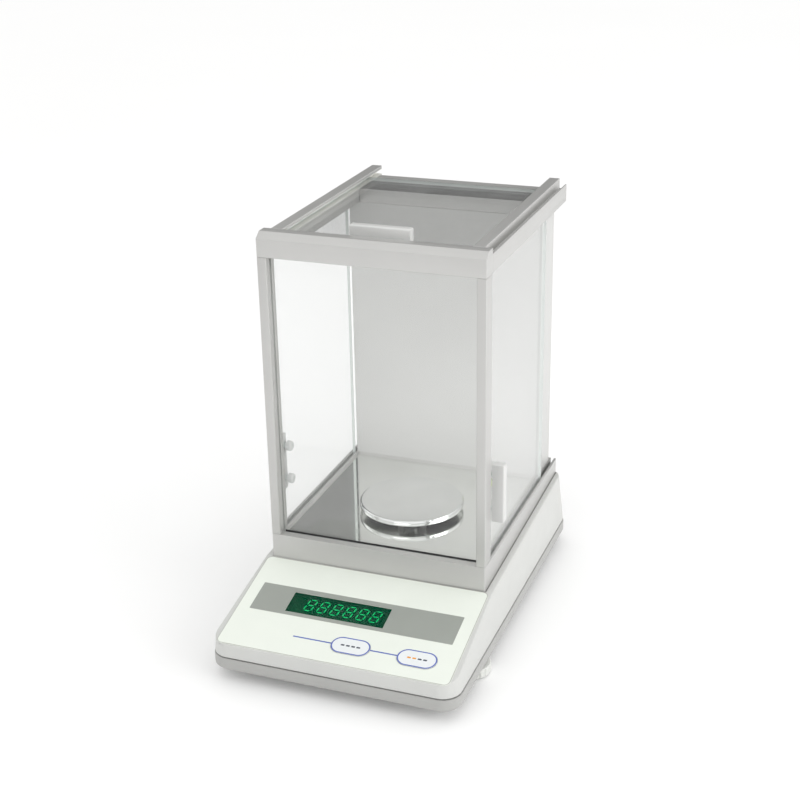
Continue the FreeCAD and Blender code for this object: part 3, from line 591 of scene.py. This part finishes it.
# ---- Front posts ----------------------------------------------------------
# Two slim hollow aluminium uprights, painted like the base. The doors close against their
# backs, and the front pane stands in their slots.

for side in ("left", "right"):
    eased("front_post_" + side, paint_upright, 0.0005)

# ---- Rear column ----------------------------------------------------------
# Sheet metal column behind the chamber: painted rear wall, two corner posts and a screwed
# cover with cooling slots, each under its own quarter-round hood.

wall_paint = painted("wall_paint", (1, 1, 0.2), (0.60, 0.60, 0.588))
shader_of(wall_paint).inputs["Metallic"].default_value = 0.0
eased("rear_wall", wall_paint, 0.0003)
eased("rear_cover", wall_paint, 0.0003)
for side in ("left", "right"):
    eased("rear_post_" + side, wall_paint, 0.0005)
dress(screw_steel, "rear_cover_screws")

HOODS = {"Rows": 8, "Rise": 0.006, "Span": 0.060, "Reach": 0.0022, "Gauge": 0.0006}
HOOD_DROP = 0.0640               # from the cover's top edge to the lowest hood's lip
tree = new_tree("louvre_hoods", HOODS)
given = tree.nodes.new("NodeGroupInput").outputs
lip = step(tree, "GeometryNodeCurveArc", {
    "Resolution": 8, "Radius": given["Reach"], "Start Angle": 0.0, "Sweep Angle": math.pi / 2,
}, mode="RADIUS")
drawn = step(tree, "ShaderNodeCombineXYZ", {2: given["Span"]})
run = step(tree, "GeometryNodeCurvePrimitiveLine", {"End": drawn.outputs[0]})
hood = step(tree, "GeometryNodeCurveToMesh", {"Curve": run.outputs[0], "Profile Curve": lip.outputs[0]})
thick = step(tree, "GeometryNodeExtrudeMesh", {"Mesh": hood.outputs[0], "Offset Scale": given["Gauge"],
                                              "Individual": False})
closed = step(tree, "GeometryNodeJoinGeometry")
tree.links.new(thick.outputs[0], closed.inputs[0])
inner = step(tree, "GeometryNodeFlipFaces", {0: hood.outputs[0]})
tree.links.new(inner.outputs[0], closed.inputs[0])
whole_hood = step(tree, "GeometryNodeMergeByDistance", {0: closed.outputs[0], "Distance": 0.00001})
climb = step(tree, "ShaderNodeCombineXYZ", {0: given["Rise"]})
rows = step(tree, "GeometryNodeMeshLine", {"Count": given["Rows"], "Offset": climb.outputs[0]})
hoods = step(tree, "GeometryNodeInstanceOnPoints", {0: rows.outputs[0], "Instance": whole_hood.outputs[0]})
cover_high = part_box("rear_cover")[1]
# The tree's x climbs the cover, its y stands out of it and its z runs across.
hood_place = Matrix(((0, 0, -1), (0, 1, 0), (1, 0, 0))).to_4x4()
hood_place.translation = (HOODS["Span"] / 2, cover_high.y, cover_high.z - HOOD_DROP)
louvre_hoods = grown("louvre_hoods", tree, hoods.outputs[0], wall_paint, HOODS, hood_place)
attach(louvre_hoods, "housing")

# ---- Top frame ------------------------------------------------------------
# Two slotted aluminium rails and two cross bars, screwed to the posts. The lid runs in the
# rails' inner slots, which are lined with white nylon.

eased("top_front_bar", paint_across, 0.0006)
eased("top_rear_bar", paint_across, 0.0006)
for side in ("left", "right"):
    eased("top_rail_" + side, paint_along, 0.0005)
nylon_white = moulded("nylon_white", (0.78, 0.78, 0.74), 0.4)
dress(nylon_white, "top_door_tracks")
seal_felt = moulded("seal_felt", (0.22, 0.22, 0.215), 0.9, pitch=0.0003, height=0.0001, change=0.4)
dress(seal_felt, "rear_seal")

# ---- Sliding doors --------------------------------------------------------
# Three panes of 2.8 mm glass, each with a bar pull outside that is held through the glass
# by two domed nuts inside.

pull_paint = painted("pull_paint", (1, 1, 0.3), (0.70, 0.70, 0.69))
shader_of(pull_paint).inputs["Metallic"].default_value = 0.2
nut_plastic = moulded("nut_plastic", (0.62, 0.63, 0.62), 0.25, height=0.000006)
for door, thin_axis in (("left", 0), ("right", 0), ("top", 2)):
    pane(door + "_door_glass", thin_axis)
    eased(door + "_door_handle", pull_paint, 0.0004)
    eased(door + "_door_knobs", nut_plastic, 0.0002)

# ---- Pan ------------------------------------------------------------------
# A spun stainless pan with a rolled rim, which lifts off the carrier's pin. Its top has the
# fine rings that the lathe leaves, its rim is polished.

pan_steel = new_finish("pan_steel", Metallic=1.0)
pan_low, pan_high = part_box("weighing_pan")
pan_centre = (pan_low + pan_high) / 2
tree = pan_steel.node_tree
place = step(tree, "ShaderNodeTexCoord").outputs["Object"]
centred = step(tree, "ShaderNodeMapping", {"Vector": place, "Location": (-pan_centre.x, -pan_centre.y, 0)})
flat_spot = step(tree, "ShaderNodeVectorMath", {0: centred.outputs[0], 1: (1, 1, 0)}, operation="MULTIPLY")
distance = step(tree, "ShaderNodeVectorMath", {0: flat_spot.outputs[0]}, operation="LENGTH").outputs["Value"]
lathe = {"W": distance, "Scale": 2500.0, "Detail": 3.0}
rings = step(tree, "ShaderNodeTexNoise", lathe, noise_dimensions="1D")
emboss(pan_steel, rings.outputs["Fac"], 0.000003)
vary(pan_steel, rings.outputs["Fac"], 0.08, 0.2)
tint(pan_steel, grain(pan_steel, 0.03, detail=3.0), (0.80, 0.81, 0.80), (0.87, 0.88, 0.87))
eased("weighing_pan", pan_steel, 0.0003)
dress(pan_steel, "pan_support")

# ---- Studio ---------------------------------------------------------------
# A plain white floor under a pale sky, a broad soft lamp on the right and a weak one in
# front. A grey card behind on the left shows only in polished metal, paint and glass.

floor_white = new_finish("floor_white", Roughness=0.9, Emission_Color=(1, 1, 1, 1), Emission_Strength=0.04)
tint(floor_white, grain(floor_white, 0.8), (0.93, 0.93, 0.93), (0.94, 0.94, 0.94))
mesh = bpy.data.meshes.new("floor")
mesh.from_pydata([(-15, -15, 0), (15, -15, 0), (15, 15, 0), (-15, 15, 0)], [], [(0, 1, 2, 3)])
mesh.materials.append(floor_white)
floor = placed("floor", mesh)

world = bpy.data.worlds.new("pale_sky")
world.use_nodes = True
sky = world.node_tree.nodes["Background"]
sky.inputs["Color"].default_value = (1.0, 1.0, 0.995, 1)
# The sky is dimmer near the horizon, as in a studio with dark walls and a lit ceiling.
sky_tree = world.node_tree
way = step(sky_tree, "ShaderNodeTexCoord").outputs["Generated"]
height = step(sky_tree, "ShaderNodeSeparateXYZ", {0: way}).outputs[2]
fade = {"Value": height, "From Max": 0.45, "To Min": 0.45, "To Max": 1.05}
glow = step(sky_tree, "ShaderNodeMapRange", fade)
sky_tree.links.new(glow.outputs[0], sky.inputs["Strength"])
bpy.context.scene.world = world


def soft_lamp(name, place, aim, size, power):
    """A rectangular lamp that points at a spot."""
    light = bpy.data.lights.new(name, "AREA")
    light.shape = "RECTANGLE"
    light.size, light.size_y = size
    light.energy = power
    lamp = bpy.data.objects.new(name, light)
    lamp.location = place
    lamp.rotation_euler = (Vector(aim) - Vector(place)).to_track_quat("-Z", "Y").to_euler()
    bpy.context.scene.collection.objects.link(lamp)
    return lamp


soft_lamp("lamp_right", (2.4, -0.4, 1.0), (0, 0, 0.2), (2.0, 1.6), 22)
soft_lamp("lamp_front", (-0.1, -2.0, 0.9), (0, 0, 0.2), (1.2, 0.5), 2)
# The light that the polished plate throws up onto the wall behind the pan.
plate_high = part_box("chamber_floor")[1]
plate_back = Vector((0, plate_high.y, plate_high.z))
bounce = soft_lamp("lamp_bounce", plate_back + Vector((0, -0.12, 0.008)), plate_back + Vector((0, 0, 0.05)),
                   (0.15, 0.08), 0.09)
bounce.visible_camera = False
bounce.visible_glossy = False


def grey_card(name, x, y, z, brightness):
    """An upright card that only mirror-like surfaces see."""
    surface = bpy.data.materials.new(name)
    surface.use_nodes = True
    surface.node_tree.nodes.clear()
    glow = step(surface.node_tree, "ShaderNodeEmission", {"Color": (brightness,) * 3 + (1,), "Strength": 1.0})
    end = surface.node_tree.nodes.new("ShaderNodeOutputMaterial")
    surface.node_tree.links.new(glow.outputs[0], end.inputs["Surface"])
    mesh = bpy.data.meshes.new(name)
    corners = [(x[0], y, z[0]), (x[1], y, z[0]), (x[1], y, z[1]), (x[0], y, z[1])]
    mesh.from_pydata(corners, [], [(0, 1, 2, 3)])
    mesh.materials.append(surface)
    card = placed(name, mesh)
    card.visible_camera = False
    card.visible_diffuse = False
    card.visible_shadow = False
    card.visible_transmission = False


grey_card("card_behind", (-1.8, 0.1), 0.62, (0.078, 1.3), 0.15)

bpy.context.scene.view_settings.view_transform = "Standard"
bpy.context.scene.cycles.transparent_max_bounces = 24
